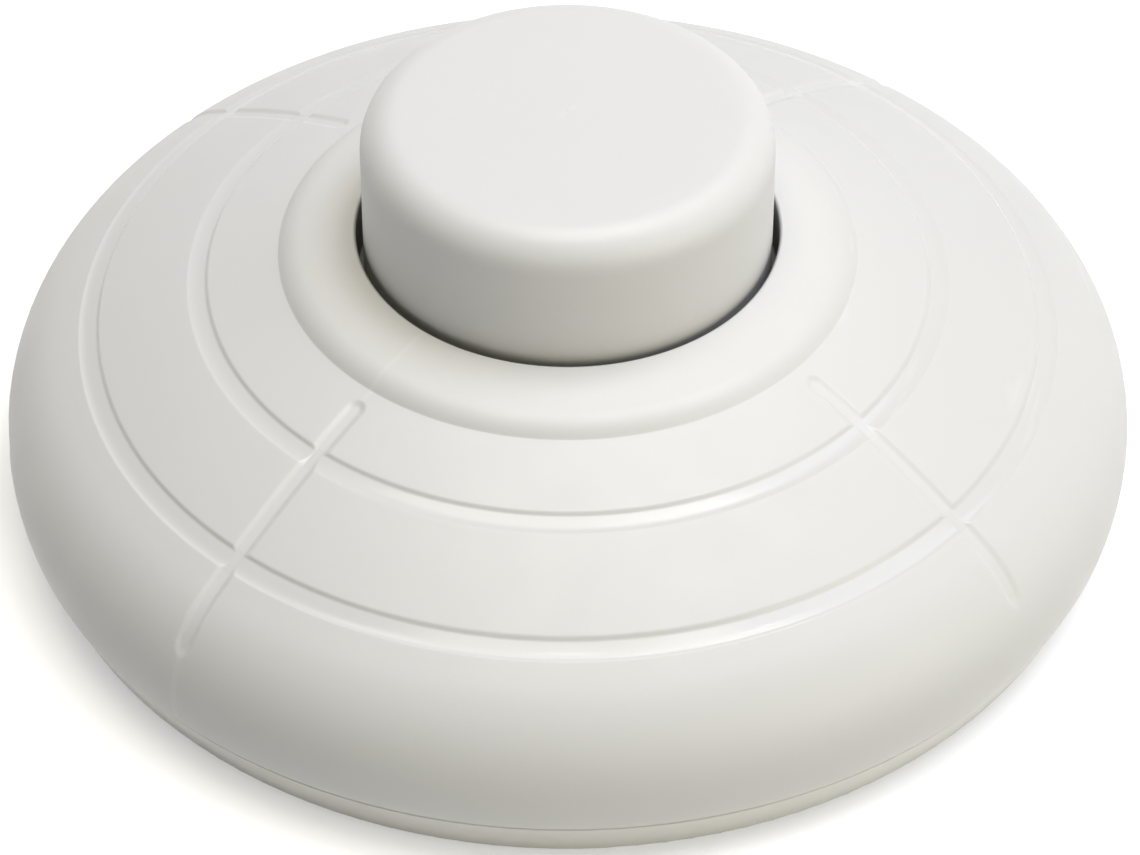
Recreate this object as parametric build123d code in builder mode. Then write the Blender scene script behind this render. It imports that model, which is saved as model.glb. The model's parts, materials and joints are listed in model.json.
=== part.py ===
from build123d import *

import os
from math import acos, asin, atan2, cos, degrees, radians, sin, sqrt, tan

# A round in-line foot switch for a lamp cord, in millimetres. The floor is z = 0, the cord
# runs along X and the push button moves along Z.

# Housing shape
housing_diameter = 62.0
foot_inset = 1.25  # from the widest part in to the foot
seam_height = 2.86  # the cover stands on the base rim here
belly_height = 4.2  # the housing is widest here
shoulder_radius = 6.5
dome_height = 17.3  # the curve of the dome carried on to the axis
cover_wall = 2.0
collar_diameter = 31.1
collar_rise = 0.68  # from the dome up to the corner of the collar
collar_slope = 10.0  # degrees that the collar top falls, from the bore outwards
collar_side_slope = 50.0  # degrees that the side of the collar leans from level
collar_foot_radius = 0.15
collar_side = 0.1  # what the roundings leave of the collar side
bore_chamfer = 0.2
seam_edge_radius = 0.15
rim_inset = 0.15  # the base rim stays this far inside the cover edge
shadow_gap_height = 0.2  # dark line between the cover and the base rim
shadow_gap_depth = 0.6
rim_chamfer = 0.1
foot_edge_radius = 0.4

# Decoration grooves in the dome
groove_depth = 0.2
ring_groove_width = 0.9
inner_ring_offset = 4.4  # from the collar foot out to the inner ring
outer_ring_inset = 5.0  # from the widest part in to the outer ring
spoke_groove_width = 0.8
spoke_start_gap = 0.85  # from the collar foot to the start of a spoke
spoke_end_inset = 0.8  # from the widest part in to the end of a spoke
spoke_count = 4
spoke_start_angle = 45.0

# Push button
button_diameter = 22.0
button_rise = 7.6  # from the bore edge to the button top
button_crown = 0.25
button_taper = 0.12
button_edge_radius = 2.0
button_wall = 1.6
button_roof = 2.0
button_flange_width = 1.4
button_flange_thickness = 1.4
button_travel = 4.0
button_clearance = 0.33
stop_clearance = 0.2  # from the flange up to the cover that stops it
flange_side_clearance = 1.7

# Base plate
floor_thickness = 1.6
recess_radius = 17.0
recess_depth = 0.5
lip_height = 1.6
lip_thickness = 1.2
lip_clearance = 0.15

# Cord inlets, half in the cover and half in the base
inlet_width = 6.8
inlet_bottom = 0.9
inlet_top = 5.4
inlet_corner_radius = 0.8
channel_lead = 0.9  # the channel starts this far inside the clamp

# Screws that join cover and base
cover_screw_inset = 8.5  # from the widest part in to the screw
cover_screw_angle = 45.0
cover_post_diameter = 6.0
cover_boss_diameter = 8.4
cover_boss_top = 5.0
cover_post_gap = 0.2
cover_bore_depth = 3.0
cover_head_diameter = 5.6
cover_head_height = 1.8
cover_head_chamfer = 0.35
cover_shank_diameter = 3.0
cover_shank_length = 6.5
head_bore_clearance = 0.35
shank_clearance = 0.2
pilot_clearance = 0.05
pilot_spare_depth = 0.5

# Small screws of the bracket, the clamps and the terminals
small_head_diameter = 4.2
small_head_height = 1.3
small_shank_diameter = 2.2
clamp_shank_length = 4.4
terminal_shank_length = 2.6
bracket_shank_length = 3.2
driver_slot_width = 0.6
driver_slot_depth = 0.6
same_height = 0.01  # edges nearer than this count as one height

# Star wheel, turned a quarter by each stroke of the button
star_axis_x = 2.6
star_axis_z = 5.4
star_tooth_count = 4
star_rest_angle = 45.0
star_back_angle = 62.0
star_land_angle = 10.0
star_width = 2.4
star_end_margin = 1.8  # from the end of the wheel to its teeth
hub_radius = 1.9
drum_length = 12.0
drum_radius = 3.0
drum_end_play = 0.2
detent_flat = 2.0
detent_corner_radius = 1.2
detent_gap = 0.4  # between the detent square and its neighbours
shaft_radius = 1.0
shaft_clearance = 0.05
contact_width = 3.6
contact_end_margin = 0.2  # from the end of the wheel to the contact drum
drum_flange_thickness = 0.6

# Brass bridge in the drum
bridge_ring_radius = 2.4
bridge_ear_width = 1.8
bridge_clearance = 0.03

# Bracket over the star wheel
bracket_clearance = 0.5
bracket_length = 10.0
bracket_plate_thickness = 1.4
bracket_headroom = 0.6
cheek_thickness = 1.2
cheek_width = 6.0
cheek_drop = 2.4
tab_boss_gap = 0.4
tab_bottom = 4.0
tab_thickness = 1.4
tab_boss_diameter = 4.8

# Plunger and its pawl arm
plunger_clearance = 0.2
plunger_thickness = 1.6
pawl_width = 2.4
pawl_thickness = 1.2
pawl_gap = 0.5
pawl_nose_height = 1.2
pawl_clearance = 0.25
pawl_notch_clearance = 0.35

# Return spring
spring_radius = 3.9
wire_diameter = 0.8
wire_sides = 6
spring_turns = 3.5
spring_end_gap = 0.05
spring_boss_clearance = 0.3
spring_boss_height = 1.6

# Detent leaf
leaf_thickness = 0.3
leaf_side_gap = 0.2
leaf_half_span = 6.0
leaf_gap = 0.45
leaf_end_length = 1.2
leaf_stop_width = 1.0
leaf_stop_height = 1.2
leaf_stop_clearance = 0.2

# Terminals and contact blades
terminal_clamp_gap = 1.7
terminal_length = 4.6
terminal_depth = 5.0
terminal_height = 5.6
link_length = 18.0
link_tab_gap = 0.6  # from the bracket tab to the link
link_screw_pitch = 12.0
wire_hole_radius = 1.3
wire_hole_height = 2.4
cradle_wall = 1.1
cradle_height = 2.0
cradle_clearance = 0.15
block_edge_radius = 0.4
blade_thickness = 0.4
blade_width = 2.8
blade_gap = 0.15
blade_reach = 1.4
blade_bend_radius = 0.8
blade_foot_run = 3.2

# Cord clamps
clamp_inset = 9.4  # from the widest part in to the clamp
clamp_post_gap = 0.3  # from the cord channel to the clamp posts
clamp_post_diameter = 4.6
clamp_post_top = 4.6
clamp_width = 4.4
clamp_thickness = 2.2
clamp_end_margin = 2.2
clamp_tooth_height = 0.6
clamp_tooth_width = 1.2


def polar(radius, angle):
    """Point at a radius and an angle in degrees."""
    return (radius * cos(radians(angle)), radius * sin(radians(angle)))


# Values that follow from the sizes above
housing_radius = housing_diameter / 2
shoulder_centre = housing_radius - shoulder_radius
dome_rise = dome_height - belly_height
dome_radius = (shoulder_centre**2 + dome_rise**2 - shoulder_radius**2) / (2 * (dome_rise - shoulder_radius))
dome_centre = dome_height - dome_radius
join_angle = degrees(atan2(belly_height - dome_centre, shoulder_centre))
collar_radius = collar_diameter / 2
collar_foot = dome_centre + sqrt(dome_radius**2 - collar_radius**2)
collar_fall = tan(radians(collar_slope))
collar_lean = tan(radians(collar_side_slope))
collar_corner = (collar_radius - collar_rise / collar_lean, collar_foot + collar_rise)
collar_peak = collar_corner[1] + collar_corner[0] * collar_fall
collar_side_length = collar_rise / sin(radians(collar_side_slope))
foot_turn = radians(collar_side_slope) - asin(collar_radius / dome_radius)
edge_turn = radians(collar_side_slope - collar_slope)
edge_room = collar_side_length - collar_side - collar_foot_radius * tan(foot_turn / 2)
collar_edge_radius = edge_room / tan(edge_turn / 2)
inner_ring_radius = collar_radius + inner_ring_offset
outer_ring_radius = housing_radius - outer_ring_inset
spoke_inner_radius = collar_radius + spoke_start_gap
spoke_outer_radius = housing_radius - spoke_end_inset

button_radius = button_diameter / 2
button_bore = button_radius + button_clearance
button_inside = button_radius - button_wall
collar_top = collar_peak - button_bore * collar_fall
button_top = collar_top + button_rise
roof_height = button_top - button_roof
flange_radius = button_radius + button_flange_width
stop_ring_radius = flange_radius + flange_side_clearance
stop_height = dome_centre + sqrt((dome_radius - cover_wall) ** 2 - stop_ring_radius**2)
flange_top = stop_height - stop_clearance
flange_bottom = flange_top - button_flange_thickness

cover_screw_offset = housing_radius - cover_screw_inset
cover_points = [polar(cover_screw_offset, cover_screw_angle + turn) for turn in (0, 180)]
clamp_x = housing_radius - clamp_inset
clamp_screw_y = inlet_width / 2 + clamp_post_gap + clamp_post_diameter / 2
channel_start = clamp_x - clamp_width / 2 - channel_lead
clamp_points = [(side * clamp_x, end * clamp_screw_y) for side in (-1, 1) for end in (-1, 1)]
inlet_middle = (inlet_bottom + inlet_top) / 2
small_pilot = small_shank_diameter / 2 + pilot_clearance

star_tip_radius = button_travel / (2 * sin(radians(star_rest_angle)))
contact_centre_y = drum_length / 2 - contact_end_margin - contact_width / 2
star_centre_y = star_end_margin + star_width / 2 - drum_length / 2
detent_high = contact_centre_y - contact_width / 2 - drum_flange_thickness - detent_gap
detent_low = star_centre_y + star_width / 2 + detent_gap
detent_width = detent_high - detent_low
detent_centre_y = (detent_high + detent_low) / 2
leaf_width = detent_width - 2 * leaf_side_gap
cheek_inside = drum_length / 2 + drum_end_play
cheek_outside = cheek_inside + cheek_thickness
bracket_radius = button_inside - bracket_clearance
plate_bottom = star_axis_z + max(star_tip_radius, drum_radius) + bracket_headroom
plate_top = plate_bottom + bracket_plate_thickness
tab_length = tab_boss_diameter + tab_boss_gap
tab_screw_y = cheek_outside + tab_length / 2
tab_points = [(star_axis_x, tab_screw_y), (star_axis_x, -tab_screw_y)]
tab_top = tab_bottom + tab_thickness

plunger_radius = button_inside - plunger_clearance
plunger_bottom = roof_height - plunger_thickness
nose_x = star_axis_x + star_tip_radius * cos(radians(star_rest_angle))
nose_bottom = star_axis_z + button_travel / 2 + pawl_clearance
arm_x = star_axis_x + star_tip_radius + pawl_gap
arm_outside = arm_x + pawl_thickness
spring_boss_radius = spring_radius - wire_diameter / 2 - spring_boss_clearance

terminal_x = clamp_x - clamp_width / 2 - terminal_clamp_gap - terminal_length / 2
terminal_points = [(-terminal_x, contact_centre_y), (terminal_x, contact_centre_y)]
link_y = -(cheek_outside + tab_length + link_tab_gap + terminal_depth / 2)
link_points = [(-link_screw_pitch / 2, link_y), (link_screw_pitch / 2, link_y)]
blade_top = floor_thickness + blade_thickness
terminal_bottom = blade_top
terminal_top = terminal_bottom + terminal_height
link_top = floor_thickness + terminal_height
clamp_top = clamp_post_top + clamp_thickness

on_floor = (Align.CENTER, Align.CENTER, Align.MIN)
hanging = (Align.CENTER, Align.CENTER, Align.MAX)


def seam_radius(depth):
    """Radius at the seam of the surface that lies depth under the skin."""
    return shoulder_centre + sqrt((shoulder_radius - depth) ** 2 - (belly_height - seam_height) ** 2)


def draw_skin(depth, inner_radius):
    """Draw the shoulder and dome arcs, depth under the skin, from the seam in to inner_radius."""
    shoulder = shoulder_radius - depth
    dome = dome_radius - depth
    seam_angle = degrees(asin((seam_height - belly_height) / shoulder))
    dome_angle = degrees(acos(inner_radius / dome))
    side = CenterArc((shoulder_centre, belly_height), shoulder, seam_angle, join_angle - seam_angle)
    top = CenterArc((0, dome_centre), dome, join_angle, dome_angle - join_angle)
    return side @ 0, top @ 1


def circles_at(shape, height):
    """Whole circular edges at a height, the smallest first."""
    rounds = shape.edges().filter_by(GeomType.CIRCLE).filter_by(lambda edge: edge.is_closed)
    level = rounds.filter_by(lambda edge: abs(edge.center().Z - height) < same_height)
    return level.sort_by(SortBy.RADIUS)


def draw_small_screws(points, seat, length):
    """Draw one slotted screw at each point, its head at the height seat and length of shank below."""
    with Locations(*[(x, y, seat) for x, y in points]):
        Cylinder(small_head_diameter / 2, small_head_height, align=on_floor)
        Cylinder(small_shank_diameter / 2, length, align=hanging)
    with Locations(*[(x, y, seat + small_head_height) for x, y in points]):
        Box(small_head_diameter, driver_slot_width, 2 * driver_slot_depth, mode=Mode.SUBTRACT)


def blade_path(side):
    """Centre line of a contact blade, from under its terminal to the side of the drum."""
    foot = floor_thickness + blade_thickness / 2
    face = star_axis_x + side * (drum_radius + blade_gap + blade_thickness / 2)
    start = side * (terminal_x + terminal_length / 2)
    bend = side * (terminal_x - terminal_length / 2 - blade_foot_run)
    return [(start, foot), (bend, foot), (face, star_axis_z - blade_reach), (face, star_axis_z + blade_reach)]


def draw_terminal_holes(length, screw_points, bottom, top):
    """Cut the wire hole along X and the screw holes down to it."""
    middle_y = screw_points[0][1]
    middle_x = sum(x for x, y in screw_points) / len(screw_points)
    with Locations((middle_x, middle_y, bottom + wire_hole_height)):
        Cylinder(wire_hole_radius, length, rotation=(0, 90, 0), mode=Mode.SUBTRACT)
    with Locations(*[(x, y, top) for x, y in screw_points]):
        Cylinder(small_pilot, top - bottom - wire_hole_height, align=hanging, mode=Mode.SUBTRACT)


def drum_plane(y):
    """Plane across the star wheel at y, its extrusions running towards -Y."""
    return Plane(origin=(star_axis_x, y, star_axis_z), x_dir=(1, 0, 0), z_dir=(0, -1, 0))


os.makedirs("parts", exist_ok=True)

# Base plate: rim, lip, floor, bosses, cradles and the lower halves of the cord inlets
lip_outer = seam_radius(cover_wall) - lip_clearance
lip_inner = lip_outer - lip_thickness
lip_top = seam_height + lip_height
rim_radius = seam_radius(0) - rim_inset
rim_top = seam_height - shadow_gap_height
foot_radius = housing_radius - foot_inset
with BuildPart() as base_plate:
    with BuildSketch(Plane.XZ):
        with BuildLine():
            Polyline(
                (0, recess_depth),
                (recess_radius, recess_depth),
                (recess_radius, 0),
                (foot_radius, 0),
                (rim_radius, rim_top),
                (rim_radius - shadow_gap_depth, rim_top),
                (rim_radius - shadow_gap_depth, seam_height),
                (lip_outer, seam_height),
                (lip_outer, lip_top),
                (lip_inner, lip_top),
                (lip_inner, floor_thickness),
                (0, floor_thickness),
                close=True,
            )
        make_face()
    revolve(axis=Axis.Z)
    chamfer(circles_at(base_plate, rim_top)[-1], rim_chamfer)
    fillet(circles_at(base_plate, 0)[-1], foot_edge_radius)
    # Cord channels through the rim and the lip
    for side in (-1, 1):
        with BuildSketch(Plane.YZ.offset(side * channel_start)):
            with Locations((0, inlet_middle)):
                RectangleRounded(inlet_width, inlet_top - inlet_bottom, inlet_corner_radius)
        extrude(amount=side * housing_radius, mode=Mode.SUBTRACT)
    # Bosses for the cover screws, posts for the clamps, bosses for the bracket
    with Locations(*[(x, y, floor_thickness) for x, y in cover_points]):
        Cylinder(cover_boss_diameter / 2, cover_boss_top - floor_thickness, align=on_floor)
    with Locations(*[(x, y, floor_thickness) for x, y in clamp_points]):
        Cylinder(clamp_post_diameter / 2, clamp_post_top - floor_thickness, align=on_floor)
    with Locations(*[(x, y, floor_thickness) for x, y in tab_points]):
        Cylinder(tab_boss_diameter / 2, tab_bottom - floor_thickness, align=on_floor)
    # Cradle walls round the terminals, open towards the contact blades and clear of the detent leaf
    with BuildSketch(Plane.XY.offset(floor_thickness)):
        room = 2 * cradle_clearance
        walls = room + 2 * cradle_wall
        with Locations(*terminal_points):
            Rectangle(terminal_length + walls, terminal_depth + walls)
            Rectangle(terminal_length + room, terminal_depth + room, mode=Mode.SUBTRACT)
            Rectangle(2 * terminal_length, blade_width + room, mode=Mode.SUBTRACT)
        with Locations((0, link_y)):
            Rectangle(link_length + walls, terminal_depth + walls)
            Rectangle(link_length + room, terminal_depth + room, mode=Mode.SUBTRACT)
        with Locations((star_axis_x, detent_centre_y)):
            Rectangle(2 * (leaf_half_span + leaf_stop_clearance), detent_width, mode=Mode.SUBTRACT)
    extrude(amount=cradle_height)
    # Stops at the two ends of the detent leaf
    stop_shift = leaf_half_span + leaf_stop_clearance + leaf_stop_width / 2
    for side in (-1, 1):
        with Locations((star_axis_x + side * stop_shift, detent_centre_y, floor_thickness)):
            Box(leaf_stop_width, leaf_width, leaf_stop_height, align=on_floor)
    # Screw holes
    with Locations(*[(x, y, 0) for x, y in cover_points]):
        Cylinder(
            cover_head_diameter / 2 + head_bore_clearance,
            cover_bore_depth,
            align=on_floor,
            mode=Mode.SUBTRACT,
        )
        Cylinder(
            cover_shank_diameter / 2 + shank_clearance, cover_boss_top, align=on_floor, mode=Mode.SUBTRACT
        )
    with Locations(*[(x, y, clamp_top) for x, y in clamp_points]):
        Cylinder(small_pilot, clamp_shank_length + pilot_spare_depth, align=hanging, mode=Mode.SUBTRACT)
    with Locations(*[(x, y, tab_top) for x, y in tab_points]):
        Cylinder(small_pilot, bracket_shank_length + pilot_spare_depth, align=hanging, mode=Mode.SUBTRACT)
base_plate.part.label = "base_plate"
export_step(base_plate.part, "parts/base_plate.step")

# Hollow of the cover, with the two screw posts left standing in it
with BuildPart() as cover_hollow:
    with BuildSketch(Plane.XZ):
        with BuildLine():
            hollow_seam, hollow_top = draw_skin(cover_wall, stop_ring_radius)
            Polyline(hollow_top, (0, stop_height), (0, seam_height), hollow_seam)
        make_face()
    revolve(axis=Axis.Z)
    with Locations(*[(x, y, cover_boss_top + cover_post_gap) for x, y in cover_points]):
        Cylinder(cover_post_diameter / 2, dome_height, align=on_floor, mode=Mode.SUBTRACT)

# Ring and spoke grooves: the plan outline kept only near the skin
with BuildPart() as skin_grooves:
    with BuildSketch():
        for ring_radius in (outer_ring_radius, inner_ring_radius):
            Circle(ring_radius + ring_groove_width / 2)
            Circle(ring_radius - ring_groove_width / 2, mode=Mode.SUBTRACT)
        with PolarLocations((spoke_inner_radius + spoke_outer_radius) / 2, spoke_count, spoke_start_angle):
            SlotOverall(spoke_outer_radius - spoke_inner_radius, spoke_groove_width)
    extrude(amount=dome_height)
    with BuildSketch(Plane.XZ):
        with BuildLine():
            floor_seam, floor_top = draw_skin(groove_depth, collar_radius)
            air_seam, air_top = draw_skin(-groove_depth, collar_radius)
            Line(floor_seam, air_seam)
            Line(floor_top, air_top)
        make_face()
    revolve(axis=Axis.Z, mode=Mode.INTERSECT)

# Top cover: domed shell with the button collar
with BuildPart() as top_cover:
    with BuildSketch(Plane.XZ):
        with BuildLine():
            cover_seam, cover_top = draw_skin(0, collar_radius)
            Polyline(cover_top, collar_corner, (0, collar_peak), (0, seam_height), cover_seam)
        make_face()
    revolve(axis=Axis.Z)
    fillet(circles_at(top_cover, seam_height)[-1], seam_edge_radius)
    fillet(circles_at(top_cover, collar_corner[1])[-1], collar_edge_radius)
    fillet(circles_at(top_cover, collar_foot)[-1], collar_foot_radius)
    add(skin_grooves.part, mode=Mode.SUBTRACT)
    add(cover_hollow.part, mode=Mode.SUBTRACT)
    with Locations((0, 0, stop_height)):
        Cylinder(button_bore, dome_height, align=on_floor, mode=Mode.SUBTRACT)
    chamfer(circles_at(top_cover, collar_top)[0], bore_chamfer)
    # Upper halves of the cord inlets
    with BuildSketch(Plane.YZ):
        with Locations((0, inlet_middle)):
            RectangleRounded(inlet_width, inlet_top - inlet_bottom, inlet_corner_radius)
    extrude(amount=housing_radius, both=True, mode=Mode.SUBTRACT)
    # Pilot holes of the posts
    pilot_top = cover_bore_depth + cover_shank_length + pilot_spare_depth
    with Locations(*[(x, y, pilot_top) for x, y in cover_points]):
        Cylinder(
            cover_shank_diameter / 2 + pilot_clearance,
            pilot_top - cover_boss_top,
            align=hanging,
            mode=Mode.SUBTRACT,
        )
top_cover.part.label = "top_cover"
export_step(top_cover.part, "parts/top_cover.step")

# Screws from below through the base into the posts
with BuildPart() as cover_screws:
    with Locations(*[(x, y, cover_bore_depth) for x, y in cover_points]):
        Cylinder(cover_head_diameter / 2, cover_head_height, align=hanging)
    chamfer(circles_at(cover_screws, cover_bore_depth - cover_head_height), cover_head_chamfer)
    with Locations(*[(x, y, cover_bore_depth) for x, y in cover_points]):
        Cylinder(cover_shank_diameter / 2, cover_shank_length, align=on_floor)
    with Locations(*[(x, y, cover_bore_depth - cover_head_height) for x, y in cover_points]):
        for turn in (45, 135):
            Box(
                cover_shank_diameter,
                driver_slot_width,
                2 * driver_slot_depth,
                rotation=(0, 0, turn),
                mode=Mode.SUBTRACT,
            )
cover_screws.part.label = "cover_screws"
export_step(cover_screws.part, "parts/cover_screws.step")

# Push button: hollow cap with the flange that stops under the cover
crown_radius = button_radius - button_taper
crown_sphere = (crown_radius**2 + button_crown**2) / (2 * button_crown)
crown_angle = degrees(acos(crown_radius / crown_sphere))
with BuildPart() as push_button:
    with BuildSketch(Plane.XZ):
        with BuildLine():
            crown = CenterArc((0, button_top - crown_sphere), crown_sphere, crown_angle, 90 - crown_angle)
            Polyline(
                crown @ 1,
                (0, roof_height),
                (button_inside, roof_height),
                (button_inside, flange_bottom),
                (flange_radius, flange_bottom),
                (flange_radius, flange_top),
                (button_radius, flange_top),
                crown @ 0,
            )
        make_face()
    revolve(axis=Axis.Z)
    cap_edges = push_button.edges().filter_by(GeomType.CIRCLE).filter_by(lambda edge: edge.is_closed)
    fillet(cap_edges.sort_by(Axis.Z)[-1], button_edge_radius)
push_button.part.label = "push_button"
export_step(push_button.part, "parts/push_button.step")

# Plunger: plate under the cap, spring boss and the pawl arm
with BuildPart() as plunger:
    with Locations((0, 0, plunger_bottom)):
        Cylinder(plunger_radius, plunger_thickness, align=on_floor)
        Cylinder(spring_boss_radius, spring_boss_height, align=hanging)
    with BuildSketch(Plane.XZ.offset(-star_centre_y)):
        with BuildLine():
            nose_top = nose_bottom + pawl_nose_height
            Polyline(
                (nose_x, nose_bottom),
                (arm_outside, nose_bottom),
                (arm_outside, plunger_bottom),
                (arm_x, plunger_bottom),
                (arm_x, nose_top),
                (nose_x, nose_bottom + pawl_nose_height / 2),
                close=True,
            )
        make_face()
    extrude(amount=pawl_width / 2, both=True)
    Cylinder(plunger_radius, button_top, align=on_floor, mode=Mode.INTERSECT)
plunger.part.label = "plunger"
export_step(plunger.part, "parts/plunger.step")

# Return spring between the bracket and the plunger
coil_bottom = plate_top + wire_diameter / 2 + spring_end_gap
coil_height = plunger_bottom - plate_top - wire_diameter - 2 * spring_end_gap
with BuildPart() as return_spring:
    with BuildLine() as coil:
        Helix(coil_height / spring_turns, coil_height, spring_radius, center=(0, 0, coil_bottom))
    with BuildSketch(Plane(origin=coil.line @ 0, z_dir=coil.line % 0)):
        RegularPolygon(wire_diameter / 2, wire_sides)
    sweep(path=coil.line, is_frenet=True)
return_spring.part.label = "return_spring"
export_step(return_spring.part, "parts/return_spring.step")

# Star wheel: hub, ratchet teeth, detent square and contact drum
contact_start_y = contact_centre_y + contact_width / 2
with BuildPart() as star_wheel:
    with BuildSketch(drum_plane(drum_length / 2)):
        Circle(hub_radius)
    extrude(amount=drum_length)
    with BuildSketch(drum_plane(star_centre_y + star_width / 2)):
        for tooth in range(star_tooth_count):
            flank = star_rest_angle + tooth * 360 / star_tooth_count
            with BuildLine():
                Polyline(
                    (0, 0),
                    polar(star_tip_radius, flank),
                    polar(star_tip_radius, flank - star_land_angle),
                    polar(hub_radius, flank - star_back_angle),
                    close=True,
                )
            make_face()
    extrude(amount=star_width)
    with BuildSketch(drum_plane(detent_centre_y + detent_width / 2)):
        RectangleRounded(2 * detent_flat, 2 * detent_flat, detent_corner_radius)
    extrude(amount=detent_width)
    with BuildSketch(drum_plane(contact_start_y)):
        Circle(drum_radius)
        Circle(bridge_ring_radius + bridge_clearance, mode=Mode.SUBTRACT)
        Rectangle(bridge_ear_width + 2 * bridge_clearance, 3 * drum_radius, mode=Mode.SUBTRACT)
    extrude(amount=contact_width)
    with BuildSketch(drum_plane(contact_start_y - contact_width)):
        Circle(drum_radius)
    extrude(amount=drum_flange_thickness)
    with BuildSketch(drum_plane(drum_length / 2)):
        Circle(shaft_radius + shaft_clearance)
    extrude(amount=drum_length, mode=Mode.SUBTRACT)
star_wheel.part.label = "star_wheel"
export_step(star_wheel.part, "parts/star_wheel.step")

# Brass bridge: a ring on the drum with two opposite ears
with BuildPart() as contact_bridge:
    with BuildSketch(drum_plane(contact_start_y)):
        Circle(bridge_ring_radius)
        Rectangle(bridge_ear_width, 3 * drum_radius)
        Circle(drum_radius, mode=Mode.INTERSECT)
        Circle(hub_radius + bridge_clearance, mode=Mode.SUBTRACT)
    extrude(amount=contact_width)
contact_bridge.part.label = "contact_bridge"
export_step(contact_bridge.part, "parts/contact_bridge.step")

# Shaft of the star wheel, flush with the outside of the cheeks
with BuildPart() as rotor_shaft:
    with BuildSketch(drum_plane(cheek_outside)):
        Circle(shaft_radius)
    extrude(amount=2 * cheek_outside)
rotor_shaft.part.label = "rotor_shaft"
export_step(rotor_shaft.part, "parts/rotor_shaft.step")

# Bracket: plate with spring boss, two cheeks and two screw tabs
with BuildPart() as rotor_bracket:
    with BuildSketch(Plane.XY.offset(plate_bottom)):
        Rectangle(bracket_length, 2 * cheek_outside)
        Circle(bracket_radius, mode=Mode.INTERSECT)
        with Locations((nose_x - pawl_notch_clearance, star_centre_y)):
            Rectangle(
                housing_radius,
                pawl_width + 2 * pawl_notch_clearance,
                align=(Align.MIN, Align.CENTER),
                mode=Mode.SUBTRACT,
            )
    extrude(amount=bracket_plate_thickness)
    with Locations((0, 0, plate_top)):
        Cylinder(spring_boss_radius, spring_boss_height, align=on_floor)
    for side in (-1, 1):
        with BuildSketch(Plane.XY.offset(star_axis_z - cheek_drop)):
            with Locations((star_axis_x, side * (cheek_inside + cheek_thickness / 2))):
                Rectangle(cheek_width, cheek_thickness)
            Circle(bracket_radius, mode=Mode.INTERSECT)
        extrude(amount=plate_bottom - star_axis_z + cheek_drop)
        with BuildSketch(Plane.XY.offset(tab_bottom)):
            with Locations((star_axis_x, side * (cheek_outside + tab_length / 2))):
                Rectangle(tab_boss_diameter, tab_length)
        extrude(amount=tab_thickness)
    with BuildSketch(drum_plane(cheek_outside)):
        Circle(shaft_radius)
    extrude(amount=2 * cheek_outside, mode=Mode.SUBTRACT)
    with Locations(*[(x, y, tab_bottom) for x, y in tab_points]):
        Cylinder(
            small_shank_diameter / 2 + shank_clearance, tab_thickness, align=on_floor, mode=Mode.SUBTRACT
        )
rotor_bracket.part.label = "rotor_bracket"
export_step(rotor_bracket.part, "parts/rotor_bracket.step")

# Screws of the bracket
with BuildPart() as bracket_screws:
    draw_small_screws(tab_points, tab_top, bracket_shank_length)
bracket_screws.part.label = "bracket_screws"
export_step(bracket_screws.part, "parts/bracket_screws.step")

# Detent leaf bowed up to the flat of the star wheel
leaf_crest = star_axis_z - detent_flat - leaf_gap - leaf_thickness / 2
leaf_foot = floor_thickness + leaf_thickness / 2
with BuildPart() as detent_spring:
    with BuildSketch(Plane.XZ.offset(-detent_centre_y)):
        with BuildLine():
            foot_inside = leaf_half_span - leaf_end_length
            left_foot = (star_axis_x - foot_inside, leaf_foot)
            right_foot = (star_axis_x + foot_inside, leaf_foot)
            Line((star_axis_x - leaf_half_span, leaf_foot), left_foot)
            ThreePointArc(left_foot, (star_axis_x, leaf_crest), right_foot)
            Line(right_foot, (star_axis_x + leaf_half_span, leaf_foot))
        trace(line_width=leaf_thickness)
    extrude(amount=leaf_width / 2, both=True)
detent_spring.part.label = "detent_spring"
export_step(detent_spring.part, "parts/detent_spring.step")

# Contact blades on the two sides of the drum
with BuildPart() as contact_blade_in:
    with BuildSketch(Plane.XZ.offset(-contact_centre_y)):
        with BuildLine():
            FilletPolyline(*blade_path(-1), radius=blade_bend_radius)
        trace(line_width=blade_thickness)
    extrude(amount=blade_width / 2, both=True)
contact_blade_in.part.label = "contact_blade_in"
export_step(contact_blade_in.part, "parts/contact_blade_in.step")

with BuildPart() as contact_blade_out:
    with BuildSketch(Plane.XZ.offset(-contact_centre_y)):
        with BuildLine():
            FilletPolyline(*blade_path(1), radius=blade_bend_radius)
        trace(line_width=blade_thickness)
    extrude(amount=blade_width / 2, both=True)
contact_blade_out.part.label = "contact_blade_out"
export_step(contact_blade_out.part, "parts/contact_blade_out.step")

# Terminals of the switched wire, each on the foot of its blade
with BuildPart() as live_in_terminal:
    with Locations((*terminal_points[0], terminal_bottom)):
        Box(terminal_length, terminal_depth, terminal_height, align=on_floor)
    fillet(live_in_terminal.edges().filter_by(Axis.Z), block_edge_radius)
    draw_terminal_holes(terminal_length, terminal_points[:1], terminal_bottom, terminal_top)
live_in_terminal.part.label = "live_in_terminal"
export_step(live_in_terminal.part, "parts/live_in_terminal.step")

with BuildPart() as live_out_terminal:
    with Locations((*terminal_points[1], terminal_bottom)):
        Box(terminal_length, terminal_depth, terminal_height, align=on_floor)
    fillet(live_out_terminal.edges().filter_by(Axis.Z), block_edge_radius)
    draw_terminal_holes(terminal_length, terminal_points[1:], terminal_bottom, terminal_top)
live_out_terminal.part.label = "live_out_terminal"
export_step(live_out_terminal.part, "parts/live_out_terminal.step")

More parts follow.
